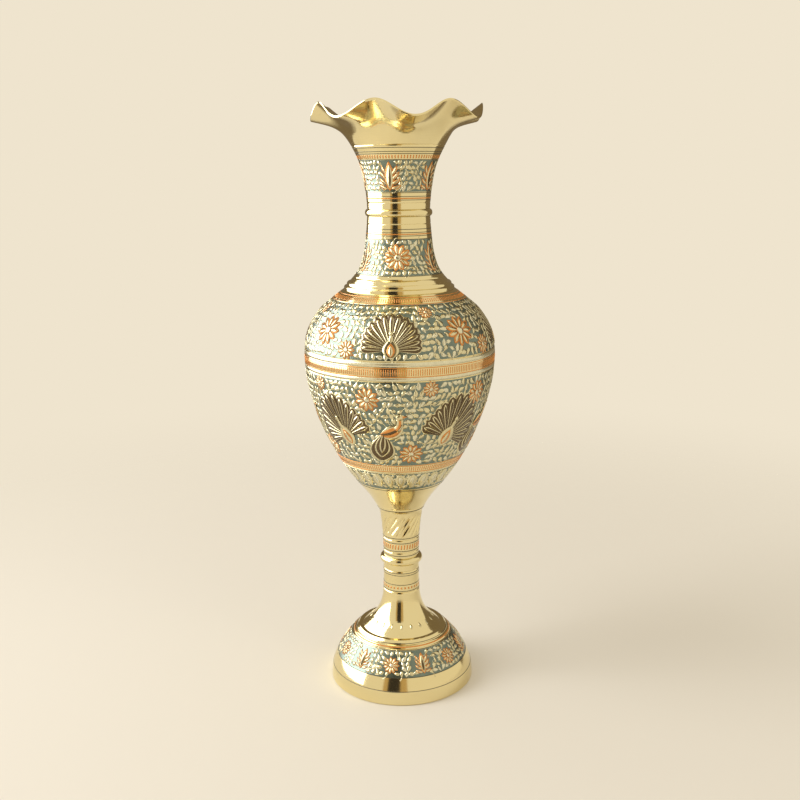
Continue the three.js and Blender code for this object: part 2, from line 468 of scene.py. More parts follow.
def spin_shell(line: list[Vector], steps: int) -> bmesh.types.BMesh:
    """Spins a cut profile right round the axis.

    Args:
        line: the profile as (radius, height) in millimetres, joined up unless it starts on the axis.
        steps: how many facets go round.

    Returns:
        The spun form in metres.
    """
    form = bmesh.new()
    verts = [form.verts.new(Vector((0.0, -spot[0], spot[1])) * MM) for spot in line]
    edges = [form.edges.new(pair) for pair in zip(verts, verts[1:])]
    if line[0][0] != 0:
        edges.append(form.edges.new((verts[-1], verts[0])))
    bmesh.ops.spin(
        form, geom=verts + edges, cent=(0, 0, 0), axis=(0, 0, 1), angle=FULL_TURN,
        steps=steps, use_merge=True, use_duplicate=False,
    )
    bmesh.ops.remove_doubles(form, verts=form.verts, dist=MERGE_REACH)
    return form


def add_mesh(name: str, form: bmesh.types.BMesh, material: bpy.types.Material) -> bpy.types.Object:
    """Turns a bmesh into an object of the scene.

    Args:
        name: the object's name.
        form: the bmesh, in metres.
        material: its finish.

    Returns:
        The new object.
    """
    mesh = bpy.data.meshes.new(name)
    form.to_mesh(mesh)
    form.free()
    mesh.materials.append(material)
    thing = bpy.data.objects.new(name, mesh)
    bpy.context.scene.collection.objects.link(thing)
    return thing


def finish_object(
    name: str, form: bmesh.types.BMesh, material: bpy.types.Material
) -> bpy.types.Object:
    """Turns a bmesh into a smooth object that rides on the vase.

    Args:
        name: the piece's name.
        form: the bmesh, in metres.
        material: its finish.

    Returns:
        The new object.
    """
    piece = add_mesh(name, form, material)
    piece.data.shade_smooth()
    piece.data.set_sharp_from_angle(angle=SHARP_ANGLE)
    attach(piece, "root")
    return piece


@dataclass(frozen=True)
class Line:
    """A line drawn right round a section."""

    height: float
    width: float
    ink: Ink
    layer: int = 0


def dark_lines(width: float, *heights: float) -> tuple[Line, ...]:
    """Returns dark lines of one width at several heights."""
    return tuple(Line(height, width, Ink.DARK) for height in heights)


@dataclass(frozen=True)
class TickRow:
    """A row of short orange bars between two heights, each top leaning to the side."""

    low: float
    high: float
    pitch: float
    lean: float = 0.0


@dataclass(frozen=True)
class LeafGround:
    """A band filled with small leaves: its heights, the leaves' distance and the seed of their draws."""

    low: float
    high: float
    spacing: float
    seed: int


@dataclass(frozen=True)
class Clearing:
    """An oval of a band that the leaves leave free."""

    turn: float
    arc: float
    half_width: float
    half_height: float

    def holds(self, turn: float, arc: float, radius: float) -> bool:
        """Tells whether a leaf would stand in the clearing.

        Args:
            turn: the leaf's place round the axis, in radians.
            arc: its place along the outline.
            radius: the section's radius there.

        Returns:
            True where it would.
        """
        across = math.remainder(turn - self.turn, FULL_TURN) * radius
        return (across / self.half_width) ** 2 + ((arc - self.arc) / self.half_height) ** 2 < 1


class Drawing:
    """Ornament drawn flat and wrapped on one section's surface, one piece for each ink."""

    BASE_LIFT = 0.05
    LAYER_LIFT = 0.045
    THICKNESS = 0.16
    STEP_LENGTH = 1.1
    STEP_WIDTH = 1.4
    LINE_STEPS = 128
    TICK_SHARE = 0.42
    LEAF_ASIDE = 0.16
    LEAF_ALONG = 0.12
    LEAF_SWAY = 0.4
    LEAF_SIZES = (1.05, 1.4)
    CREAM_FROM = 0.7
    CURL_BELOW = 0.55
    CURL_LEAN = 2.6
    CURL_WIDTH = 0.34

    def __init__(self, section: str, track: Track) -> None:
        """Starts an empty drawing.

        Args:
            section: the name of the section that carries it.
            track: the section's surface.
        """
        self.section = section
        self.track = track
        self.sheets: dict[Ink, bmesh.types.BMesh] = {}

    def sheet(self, ink: Ink) -> bmesh.types.BMesh:
        """Returns the bmesh that holds an ink's strokes."""
        return self.sheets.setdefault(ink, bmesh.new())

    def stroke(
        self, turn: float, arc: float, path: tuple[Pair, Pair, Pair], width: float,
        blade: Blade, ink: Ink, layer: int = 0,
    ) -> None:
        """Draws one curved stroke.

        Args:
            turn: the drawing's place round the axis, in radians.
            arc: its place along the outline.
            path: root, middle and tip of the stroke.
            width: its full width.
            blade: how the width runs.
            ink: its colour.
            layer: how many strokes lie below it.
        """
        root, middle, tip = (Vector(spot) for spot in path)
        length = (middle - root).length + (tip - middle).length
        lift = self.BASE_LIFT + self.LAYER_LIFT * layer
        steps = max(4, round(length / self.STEP_LENGTH))
        across = max(1, round(width / self.STEP_WIDTH))
        made = bmesh.ops.create_grid(self.sheet(ink), x_segments=steps, y_segments=across, size=1.0)
        for vert in made["verts"]:
            share = (vert.co.x + 1) / 2
            spot = root * (1 - share) ** 2 + middle * 2 * share * (1 - share) + tip * share**2
            along = (middle - root) * (1 - share) + (tip - middle) * share
            side = Vector((-along.y, along.x)).normalized()
            spot = spot + side * vert.co.y * blade.width(share) * width / 2
            vert.co = self.track.place(turn, arc, spot.x, spot.y, lift)

    def straight(
        self, turn: float, arc: float, root: Pair, lean: float, length: float,
        width: float, blade: Blade, ink: Ink, layer: int = 0, bend: float = 0.0,
    ) -> None:
        """Draws a stroke from a root in a direction.

        Args:
            turn: the drawing's place round the axis, in radians.
            arc: its place along the outline.
            root: where the stroke starts in the drawing.
            lean: its direction, in radians from the right.
            length: its length.
            width: its full width.
            blade: how the width runs.
            ink: its colour.
            layer: how many strokes lie below it.
            bend: how far its middle stands to the left.
        """
        start = Vector(root)
        along = Vector((math.cos(lean), math.sin(lean)))
        side = Vector((-along.y, along.x))
        middle = start + along * length / 2 + side * bend
        tip = start + along * length
        self.stroke(turn, arc, (tuple(start), tuple(middle), tuple(tip)), width, blade, ink, layer)

    def ring(self, line: Line) -> None:
        """Draws a line right round the section.

        Args:
            line: the line.
        """
        arc = self.track.arc_at(line.height)
        lift = self.BASE_LIFT + self.LAYER_LIFT * line.layer
        sheet = self.sheet(line.ink)
        made = bmesh.ops.create_grid(sheet, x_segments=self.LINE_STEPS, y_segments=1, size=1.0)
        for vert in made["verts"]:
            vert.co = self.track.place(vert.co.x * math.pi, arc, 0.0, vert.co.y * line.width / 2, lift)

    def ticks(self, row: TickRow) -> None:
        """Draws a row of short bars.

        Args:
            row: the row.
        """
        start, end = self.track.arc_at(row.low), self.track.arc_at(row.high)
        radius = self.track.at((start + end) / 2)[0].x
        count = max(12, round(FULL_TURN * radius / row.pitch))
        path = ((0.0, 0.0), (row.lean / 2, (end - start) / 2), (row.lean, end - start))
        for number in range(count):
            turn = FULL_TURN * number / count
            self.stroke(turn, start, path, row.pitch * self.TICK_SHARE, Blade.LINE, Ink.ORANGE)

    def leaves(self, ground: LeafGround, kept: list[Clearing]) -> None:
        """Fills a band with a dense scroll of small rounded leaves, leaving the motifs clear.

        Args:
            ground: the band.
            kept: the ovals to keep clear.
        """
        draw = random.Random(ground.seed)
        start, end = self.track.arc_at(ground.low), self.track.arc_at(ground.high)
        spacing = ground.spacing
        rows = max(1, round((end - start) / spacing))
        pace = (end - start) / rows
        for row in range(rows):
            level = start + pace * (row + 0.5)
            radius = self.track.at(level)[0].x
            count = max(6, round(FULL_TURN * radius / spacing))
            for number in range(count):
                aside = draw.uniform(-self.LEAF_ASIDE, self.LEAF_ASIDE)
                turn = FULL_TURN * (number + 0.5 * (row % 2) + aside) / count
                arc = level + draw.uniform(-self.LEAF_ALONG, self.LEAF_ALONG) * spacing
                flow = 1.4 * math.sin(3.1 * turn + 1.7 * row) + 1.2 * math.cos(number * 0.9 + row)
                lean = flow + draw.uniform(-self.LEAF_SWAY, self.LEAF_SWAY)
                size = spacing * draw.uniform(*self.LEAF_SIZES)
                bloom = draw.random()
                if any(clearing.holds(turn, arc, radius) for clearing in kept):
                    continue
                reach = min(size, 2 * min(arc - start, end - arc) * 1.3)
                root = (-math.cos(lean) * reach / 2, -math.sin(lean) * reach / 2)
                ink = Ink.CREAM if bloom > self.CREAM_FROM else Ink.GOLD
                self.straight(turn, arc, root, lean, reach, size * 0.6, Blade.PETAL, ink, 0, size * 0.1)
                if bloom < self.CURL_BELOW:
                    self.straight(
                        turn, arc, root, lean + self.CURL_LEAN, spacing * 0.8, self.CURL_WIDTH,
                        Blade.LINE, ink, 0, size * 0.16,
                    )

    def build(self) -> None:
        """Makes one piece for each ink, as thin closed inlays sunk into the surface."""
        for ink, form in self.sheets.items():
            bmesh.ops.remove_doubles(form, verts=form.verts, dist=MERGE_REACH)
            piece = finish_object(f"{self.section}_{ink.value}", form, materials()[ink])
            shell = piece.modifiers.new("inlay", "SOLIDIFY")
            shell.thickness = self.THICKNESS * MM
            shell.offset = -1.0
            LOG.info("%s: %d faces", piece.name, len(piece.data.polygons))


@dataclass(frozen=True)
class Motif:
    """One ornament of a repeat: its turn from the repeat's start in degrees, and its height."""

    shift: float
    height: float

    def clearing(self, turn: float, track: Track) -> Clearing:
        """Finds the ground that it keeps free of leaves.

        Args:
            turn: its place round the axis, in radians.
            track: the section's surface.

        Returns:
            The oval to keep clear.
        """
        middle, half_width, half_height = self.oval()
        return Clearing(turn, track.arc_at(middle), half_width, half_height)

    def oval(self) -> Triple:
        """Returns the middle height, half width and half height of its clearing."""
        raise NotImplementedError

    def draw(self, drawing: Drawing, turn: float, number: int) -> None:
        """Draws the motif.

        Args:
            drawing: the section's ornament.
            turn: its place round the axis, in radians.
            number: which repeat it belongs to.
        """
        raise NotImplementedError


@dataclass(frozen=True)
class Flower(Motif):
    """A round flower with pale petals edged in orange."""

    size: float
    clear: float = 0.55

    PETALS = 11

    def oval(self) -> Triple:
        """Returns the middle height, half width and half height of its clearing."""
        return self.height, self.size * self.clear, self.size * self.clear

    def draw(self, drawing: Drawing, turn: float, number: int) -> None:
        """Draws the petals, then the pale heart.

        Args:
            drawing: the section's ornament.
            turn: its place round the axis, in radians.
            number: which repeat it belongs to; not used here.
        """
        size, arc = self.size, drawing.track.arc_at(self.height)
        wide = size * 2.3 / self.PETALS
        for petal in range(self.PETALS):
            lean = FULL_TURN * petal / self.PETALS
            root = (math.cos(lean) * size * 0.1, math.sin(lean) * size * 0.1)
            drawing.straight(turn, arc, root, lean, size * 0.44, wide, Blade.PETAL, Ink.ORANGE, 2)
            drawing.straight(turn, arc, root, lean, size * 0.38, wide * 0.52, Blade.PETAL, Ink.GOLD, 3)
        for radius, ink, layer in ((0.16, Ink.ORANGE, 4), (0.13, Ink.CREAM, 5)):
            across = size * radius * 2
            drawing.straight(turn, arc, (-size * radius, 0.0), 0.0, across, across, Blade.DISC, ink, layer)


@dataclass(frozen=True)
class Fan(Motif):
    """A peacock seen from the front, its tail spread from the motif's height upwards."""

    width: float
    tall: float
    clear: Triple
    tilt: float = 0.0

    FEATHERS = 15
    FEATHER_LINES = (
        (1.0, 0.17, Ink.GOLD, 1), (0.97, 0.145, Ink.BROWN, 2), (0.92, 0.062, Ink.GOLD, 3),
        (0.87, 0.036, Ink.BROWN, 4),
    )
    BODY_LINES = (
        (-0.24, 0.5, 0.26, Ink.GOLD, 5), (-0.2, 0.36, 0.13, Ink.ORANGE, 6), (-0.18, 0.28, 0.07, Ink.GOLD, 7),
        (0.16, 0.24, 0.07, Ink.GOLD, 6),
    )

    def oval(self) -> Triple:
        """Returns the middle height, half width and half height of its clearing."""
        return self.clear

    def draw(self, drawing: Drawing, turn: float, number: int) -> None:
        """Draws the feathers, body and head, tilted left and right by turns.

        Args:
            drawing: the section's ornament.
            turn: its place round the axis, in radians.
            number: which repeat it belongs to.
        """
        wide, tall, arc = self.width, self.tall, drawing.track.arc_at(self.height)
        tilt = math.radians(-self.tilt if number % 2 else self.tilt)
        upright = UPRIGHT + tilt
        for feather in range(self.FEATHERS):
            lean = math.radians(2 + 176 * (feather / (self.FEATHERS - 1)))
            reach = 1 / math.hypot(math.cos(lean) / (wide * 0.5), math.sin(lean) / tall)
            lean += tilt
            for length, width, ink, layer in self.FEATHER_LINES:
                drawing.straight(
                    turn, arc, (0.0, 0.0), lean, reach * length, wide * width, Blade.FEATHER, ink, layer
                )
        along = Vector((math.cos(upright), math.sin(upright)))
        for drop, length, width, ink, layer in self.BODY_LINES:
            root = tuple(along * tall * drop)
            drawing.straight(turn, arc, root, upright, tall * length, wide * width, Blade.LEAF, ink, layer)
        head = tuple(along * tall * 0.36)
        drawing.straight(turn, arc, head, upright, tall * 0.1, wide * 0.07, Blade.DISC, Ink.GOLD, 7)


@dataclass(frozen=True)
class Perched(Motif):
    """A peacock seen from the side, its pear-shaped tail hanging down."""

    size: float
    clear: Triple

    TAIL_LEAN = math.radians(262)
    TAIL_LINES = (
        (0.74, 0.52, Ink.GOLD, 2), (0.7, 0.45, Ink.BROWN, 3), (0.61, 0.31, Ink.GOLD, 4),
        (0.58, 0.25, Ink.BROWN, 5), (0.5, 0.13, Ink.GOLD, 6), (0.46, 0.07, Ink.BROWN, 7),
    )

    def oval(self) -> Triple:
        """Returns the middle height, half width and half height of its clearing."""
        return self.clear

    def draw(self, drawing: Drawing, turn: float, number: int) -> None:
        """Draws the tail, body, neck, head and beak.

        Args:
            drawing: the section's ornament.
            turn: its place round the axis, in radians.
            number: which repeat it belongs to; not used here.
        """
        size, arc = self.size, drawing.track.arc_at(self.height)
        root = (-size * 0.08, size * 0.14)
        for length, wide, ink, layer in self.TAIL_LINES:
            drawing.straight(
                turn, arc, root, self.TAIL_LEAN, size * length, size * wide, Blade.PETAL, ink, layer
            )
        body = ((-size * 0.16, size * 0.1), (size * 0.14, size * 0.08), (size * 0.3, size * 0.36))
        for wide, ink, layer in ((0.32, Ink.GOLD, 6), (0.2, Ink.ORANGE, 7), (0.06, Ink.BROWN, 8)):
            drawing.stroke(turn, arc, body, size * wide, Blade.LEAF, ink, layer)
        neck = ((size * 0.16, size * 0.2), (size * 0.28, size * 0.3), (size * 0.24, size * 0.46))
        for wide, ink, layer in ((0.13, Ink.GOLD, 8), (0.05, Ink.ORANGE, 9)):
            drawing.stroke(turn, arc, neck, size * wide, Blade.LINE, ink, layer)
        head, beak = (size * 0.17, size * 0.46), (size * 0.3, size * 0.5)
        drawing.straight(turn, arc, head, 0.3, size * 0.16, size * 0.13, Blade.DISC, Ink.GOLD, 9)
        drawing.straight(turn, arc, beak, 0.1, size * 0.1, size * 0.05, Blade.SPEAR, Ink.ORANGE, 9)


@dataclass(frozen=True)
class Palmette(Motif):
    """An upright palmette with paired side leaves, from the motif's height to its tip."""

    tip: float
    width: float
    clear: Triple

    PAIRS = 4

    def oval(self) -> Triple:
        """Returns the middle height, half width and half height of its clearing."""
        return self.clear

    def draw(self, drawing: Drawing, turn: float, number: int) -> None:
        """Draws the middle leaf, then the side leaves from the top pair down.

        Args:
            drawing: the section's ornament.
            turn: its place round the axis, in radians.
            number: which repeat it belongs to; not used here.
        """
        wide, arc = self.width, drawing.track.arc_at(self.height)
        tall = drawing.track.arc_at(self.tip) - arc
        for foot, length, width, ink, layer in (
            (0.0, 1.0, 0.44, Ink.ORANGE, 2), (0.06, 0.84, 0.28, Ink.GOLD, 3), (0.12, 0.6, 0.12, Ink.BROWN, 4),
        ):
            root = (0.0, tall * foot)
            drawing.straight(turn, arc, root, UPRIGHT, tall * length, wide * width, Blade.LEAF, ink, layer)
        for side in (-1, 1):
            for pair in range(self.PAIRS):
                lean = UPRIGHT - side * math.radians(34 + 13 * pair)
                root = (side * wide * 0.05, tall * (0.52 - 0.14 * pair))
                reach = wide * (0.56 - 0.03 * pair)
                bend = -side * wide * 0.1
                for length, width, ink, layer in ((1.0, 0.17, Ink.ORANGE, 1), (0.86, 0.1, Ink.GOLD, 2)):
                    drawing.straight(
                        turn, arc, root, lean, reach * length, wide * width, Blade.LEAF, ink, layer, bend
                    )


@dataclass
class Section:
    """One turned section of the vase: its cut profile in millimetres, its finish and its ornament.

    The profile runs up the outside from below to above and comes down the inside.
    """

    node: str
    outline: Outline
    finish: BrassFinish
    wall: float = 1.4
    below: Profile = ()
    above: Profile = ()
    inside: Profile = ()
    grooves: tuple[float, ...] = ()
    steps: int = 144
    slot: str = "engraved_brass"
    motifs: tuple[Motif, ...] = ()
    repeats: int = 1
    first_turn: float = 0.0
    ground: LeafGround | None = None
    lines: tuple[Line, ...] = ()
    tick_rows: tuple[TickRow, ...] = ()
    track: Track = field(init=False)

    GROOVE_HALF = 0.28
    GROOVE_DEPTH = 0.2

    def __post_init__(self) -> None:
        """Measures the outline."""
        self.track = Track(self.outline)

    def outside_line(self) -> list[Vector]:
        """Cuts the grooves into the outline.

        Returns:
            The outer line, upwards.
        """
        line = list(self.track.line)
        for height in self.grooves:
            arc = self.track.arc_at(height)
            line = [spot for spot in line if abs(spot.y - height) > self.GROOVE_HALF * 1.3]
            for shift, sink in ((-self.GROOVE_HALF, 0.0), (0.0, self.GROOVE_DEPTH), (self.GROOVE_HALF, 0.0)):
                spot, out = self.track.at(arc + shift)
                line.append(spot - out * sink)
        return sorted(line, key=lambda spot: spot.y)

    def inside_line(self) -> list[Vector]:
        """Follows the outline one wall further in, unless the section states its own inside.

        Returns:
            The inner line, downwards.
        """
        if self.inside:
            return [Vector(spot) for spot in self.inside]
        low, high = self.outline.points[0][1], self.outline.points[-1][1]
        places = (self.track.at(arc) for arc in self.track.arcs[::2])
        inner = [spot - out * self.wall for spot, out in places]
        return [spot for spot in reversed(inner) if low < spot.y < high]

    def build(self) -> bpy.types.Object:
        """Spins the profile into a shell.

        Returns:
            The piece.
        """
        start = [Vector(spot) for spot in self.below]
        end = [Vector(spot) for spot in self.above]
        form = spin_shell(start + self.outside_line() + end + self.inside_line(), self.steps)
        self.shape(form)
        bmesh.ops.recalc_face_normals(form, faces=form.faces)
        piece = finish_object(f"{self.node}_shell", form, self.finish.build())
        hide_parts(self.node)
        LOG.info("%s: %d faces", piece.name, len(piece.data.polygons))
        return piece

    def shape(self, form: bmesh.types.BMesh) -> None:
        """Changes the spun shell where the section isn't round."""

    def dress(self) -> None:
        """Draws the section's motifs, leaves, lines, ticks and what else it has."""
        drawing = Drawing(self.node, self.track)
        kept: list[Clearing] = []
        for number in range(self.repeats):
            start = math.radians(self.first_turn + 360 / self.repeats * number)
            for motif in self.motifs:
                turn = start + math.radians(motif.shift)
                motif.draw(drawing, turn, number)
                kept.append(motif.clearing(turn, self.track))
        if self.ground:
            drawing.leaves(self.ground, kept)
        for line in self.lines:
            drawing.ring(line)
        for row in self.tick_rows:
            drawing.ticks(row)
        self.decorate(drawing)
        drawing.build()

    def decorate(self, drawing: Drawing) -> None:
        """Adds ornament that only this section has."""


@dataclass
class FootDome(Section):
    """The domed foot, with palmettes and flowers in its band."""

    node: str = "foot_dome"
    outline: Outline = Outline(((39.0, 0.6), (38.1, 7.965), (34.4, 15.93), (28.8, 23.895), (23.4, 29.5)))
    finish: BrassFinish = BrassFinish("foot_brass", bands=((14.2, 25.4),))
    below: Profile = ((36.4, 0.0), (38.4, 0.0))
    above: Profile = ((14.0, 29.5), (14.0, 28.1), (22.0, 28.1))
    inside: Profile = ((26.6, 25.4), (30.6, 19.6), (34.0, 13.6), (36.4, 7.4), (36.4, 3.0))
    grooves: tuple[float, ...] = (26.2, 27.8)
    motifs: tuple[Motif, ...] = (
        Palmette(0, 15.2, 24.4, 9.0, clear=(19.8, 5.4, 7.0)), Flower(30, 19.4, 8.0, clear=0.575),
    )
    repeats: int = 6
    first_turn: float = 20
    ground: LeafGround | None = LeafGround(14.6, 25.2, 2.7, seed=11)
    lines: tuple[Line, ...] = (
        Line(25.6, 0.35, Ink.DARK), Line(26.9, 0.7, Ink.ORANGE), Line(28.2, 0.3, Ink.DARK),
        Line(14.1, 0.35, Ink.DARK), Line(7.6, 0.3, Ink.DARK),
    )


@dataclass
class StemLower(Section):
    """The lower stem, with a dotted band and a ring of small leaves."""

    node: str = "stem_lower"
    outline: Outline = Outline(((21.4, 29.5), (14.6, 35.705), (11.0, 43.005), (9.8, 51.765), (9.6, 66.0)))
    finish: BrassFinish = BrassFinish("stem_brass")
    below: Profile = ((12.1, 28.4), (13.7, 28.4), (13.7, 29.5))
    above: Profile = ((7.9, 66.0), (7.9, 73.0), (6.5, 73.0), (6.5, 46.0))
    inside: Profile = ((8.4, 42.0), (10.2, 36.5), (11.6, 34.0))
    grooves: tuple[float, ...] = (50.6, 62.4)
    slot: str = "polished_brass"
    lines: tuple[Line, ...] = dark_lines(0.3, 51.4, 54.9, 60.2, 61.4)
    tick_rows: tuple[TickRow, ...] = (TickRow(52.6, 53.7, 2.0),)
    leaf_height: float = 32.6
    leaf_count: int = 20

    def decorate(self, drawing: Drawing) -> None:
        """Draws the small leaves on the flare.

        Args:
            drawing: the section's ornament.
        """
        arc = self.track.arc_at(self.leaf_height)
        for number in range(self.leaf_count):
            turn = FULL_TURN * number / self.leaf_count
            drawing.straight(turn, arc, (0.0, 0.0), UPRIGHT, 3.0, 1.3, Blade.LEAF, Ink.GOLD, 1)


@dataclass
class StemUpper(Section):
    """The upper stem, with slanting pleats under the belly."""

    node: str = "stem_upper"
    outline: Outline = Outline(((9.6, 70.0), (9.7, 77.8), (10.5, 88.2), (11.7, 96.0)), 0.6)
    finish: BrassFinish = BrassFinish("pleat_brass")
    below: Profile = ((8.2, 70.0),)
    above: Profile = ((8.2, 96.0),)
    inside: Profile = ((8.2, 83.0),)
    grooves: tuple[float, ...] = (73.0, 80.2)
    steps: int = 240
    lines: tuple[Line, ...] = dark_lines(0.35, 71.4, 74.2, 78.6, 81.4)
    tick_rows: tuple[TickRow, ...] = (TickRow(75.2, 77.8, 1.6, lean=0.3),)
    pleat_heights: Pair = (82.2, 95.4)
    pleats: int = 20
    pleat_depth: float = 0.75
    pleat_slant: float = 0.9
    bore_clear: float = 9.2

    def shape(self, form: bmesh.types.BMesh) -> None:
        """Presses slanting pleats into the upper part of the outside.

        Args:
            form: the spun shell.
        """
        low, high = self.pleat_heights
        for vert in form.verts:
            height = vert.co.z / MM
            radius = math.hypot(vert.co.x, vert.co.y) / MM
            if low < height < high and radius > self.bore_clear:
                turn = math.atan2(vert.co.x, -vert.co.y)
                share = (height - low) / (high - low)
                fade = min(1.0, 5 * share, 5 * (1 - share))
                wave = abs(math.sin(self.pleats / 2 * (turn - self.pleat_slant * share)))
                scale = 1 - self.pleat_depth * (1 - wave) * fade / radius
                vert.co.x *= scale
                vert.co.y *= scale


@dataclass
class BellyLower(Section):
    """The lower half of the belly: peacocks and flowers, a tick band and a leaf fringe."""

    node: str = "belly_lower"
    outline: Outline = Outline((
        (11.7, 96.0), (16.762, 104.4), (24.65, 114.48), (34.017, 128.76), (42.398, 147.24),
        (47.821, 165.72), (49.3, 180.0),
    ))
    finish: BrassFinish = BrassFinish("lower_belly_brass", bands=((113.6, 123.9), (129.6, 174.7)))
    below: Profile = ((0.0, 100.0), (3.3, 100.0), (3.3, 89.0), (7.9, 89.0), (7.9, 96.0))
    grooves: tuple[float, ...] = (98.4, 123.9, 175.0)
    steps: int = 192
    motifs: tuple[Motif, ...] = (
        Fan(0, 145.0, 33.0, 25.0, clear=(153.0, 11.0, 10.0), tilt=24),
        Perched(31, 145.5, 25.0, clear=(145.5, 3.6, 8.5)),
        Flower(19.5, 165.8, 11.5), Flower(47.0, 136.4, 11.0), Flower(57.0, 171.0, 7.5),
    )
    repeats: int = 5
    first_turn: float = -39
    ground: LeafGround | None = LeafGround(130.0, 174.2, 3.1, seed=21)
    lines: tuple[Line, ...] = (
        Line(176.2, 1.7, Ink.CREAM, 1), Line(177.4, 0.4, Ink.ORANGE, 1), Line(129.2, 0.4, Ink.ORANGE, 1),
        Line(125.6, 0.4, Ink.ORANGE, 1), Line(124.6, 0.4, Ink.CREAM, 1), Line(97.4, 0.35, Ink.DARK, 1),
        Line(112.6, 0.3, Ink.DARK, 1),
    )
    tick_rows: tuple[TickRow, ...] = (TickRow(126.3, 128.5, 1.1), TickRow(178.0, 180.0, 1.1))
    fringe_top: float = 123.8
    fringe_count: int = 30
    fringe_width: float = 5.6
    fringe_ground: LeafGround = LeafGround(114.4, 123.6, 2.6, seed=22)

    def decorate(self, drawing: Drawing) -> None:
        """Draws the hanging leaves below the tick band.

        Args:
            drawing: the section's ornament.
        """
        drawing.leaves(self.fringe_ground, [])
        arc = self.track.arc_at(self.fringe_top)
        wide = self.fringe_width
        for number in range(self.fringe_count):
            turn = FULL_TURN * number / self.fringe_count
            drawing.straight(turn, arc, (0.0, 0.0), -UPRIGHT, 10.6, wide, Blade.LEAF, Ink.GOLD, 1)
            drawing.straight(turn, arc, (0.0, -1.6), -UPRIGHT, 6.4, wide * 0.4, Blade.LEAF, Ink.CREAM, 2)


@dataclass
class BellyUpper(Section):
    """The upper half of the belly: peacocks and flowers under the shoulder."""

    node: str = "belly_upper"
    outline: Outline = Outline((
        (49.3, 180.0), (48.56, 188.5), (46.096, 195.98), (40.673, 204.14), (34.51, 209.58), (28.8, 214.0),
    ))
    finish: BrassFinish = BrassFinish("upper_belly_brass", bands=((185.2, 209.8),))
    above: Profile = ((22.0, 214.0), (22.0, 212.6))
    grooves: tuple[float, ...] = (184.7, 209.6)
    steps: int = 192
    motifs: tuple[Motif, ...] = (
        Fan(0, 190.5, 31.0, 19.0, clear=(197.0, 12.0, 9.0)),
        Flower(45.0, 197.5, 14.5), Flower(-27.0, 189.5, 9.0), Flower(24.0, 206.5, 6.5),
    )
    repeats: int = 4
    first_turn: float = -5
    ground: LeafGround | None = LeafGround(185.4, 209.6, 3.1, seed=31)
    lines: tuple[Line, ...] = (
        Line(183.3, 2.1, Ink.CREAM, 1), Line(181.7, 0.4, Ink.ORANGE, 1), Line(210.0, 0.4, Ink.ORANGE, 1),
        Line(212.9, 0.4, Ink.ORANGE, 1),
    )
    tick_rows: tuple[TickRow, ...] = (TickRow(210.7, 212.3, 1.1), TickRow(180.0, 181.1, 1.1))


@dataclass
class ShoulderCollar(Section):
    """The stepped collar between shoulder and neck."""

    node: str = "shoulder_collar"
    outline: Outline = Outline(
        ((28.2, 214.0), (28.1, 215.7), (26.9, 216.2), (26.7, 217.4), (26.2, 218.0)), 0.3
    )
    finish: BrassFinish = BrassFinish("collar_brass")
    below: Profile = ((22.0, 214.0),)
    above: Profile = ((22.0, 218.0),)
    inside: Profile = ((22.0, 216.0),)
    slot: str = "polished_brass"


@dataclass
class NeckLower(Section):
    """The lower neck, with flowers and palmettes in its band."""

    node: str = "neck_lower"
    outline: Outline = Outline(((25.4, 218.0), (20.6, 224.175), (17.9, 231.975), (16.6, 241.4), (15.9, 250.5)))
    finish: BrassFinish = BrassFinish("neck_brass", bands=((222.4, 239.6),))
    below: Profile = ((20.3, 210.0), (21.7, 210.0), (21.7, 218.0))
    above: Profile = ((14.4, 250.5), (14.4, 243.2))
    inside: Profile = ((15.2, 241.0), (16.5, 231.6), (19.2, 223.6), (20.3, 219.4))
    grooves: tuple[float, ...] = (247.0, 220.4)
    motifs: tuple[Motif, ...] = (
        Flower(0, 231.0, 12.5, clear=0.432), Palmette(60, 223.4, 238.6, 9.0, clear=(231.0, 5.0, 8.0)),
    )
    repeats: int = 3
    first_turn: float = -2
    ground: LeafGround | None = LeafGround(222.6, 239.4, 2.7, seed=41)
    lines: tuple[Line, ...] = (
        *dark_lines(0.32, 222.2, 239.8, 241.4, 243.0, 244.6), Line(242.2, 0.5, Ink.ORANGE),
    )


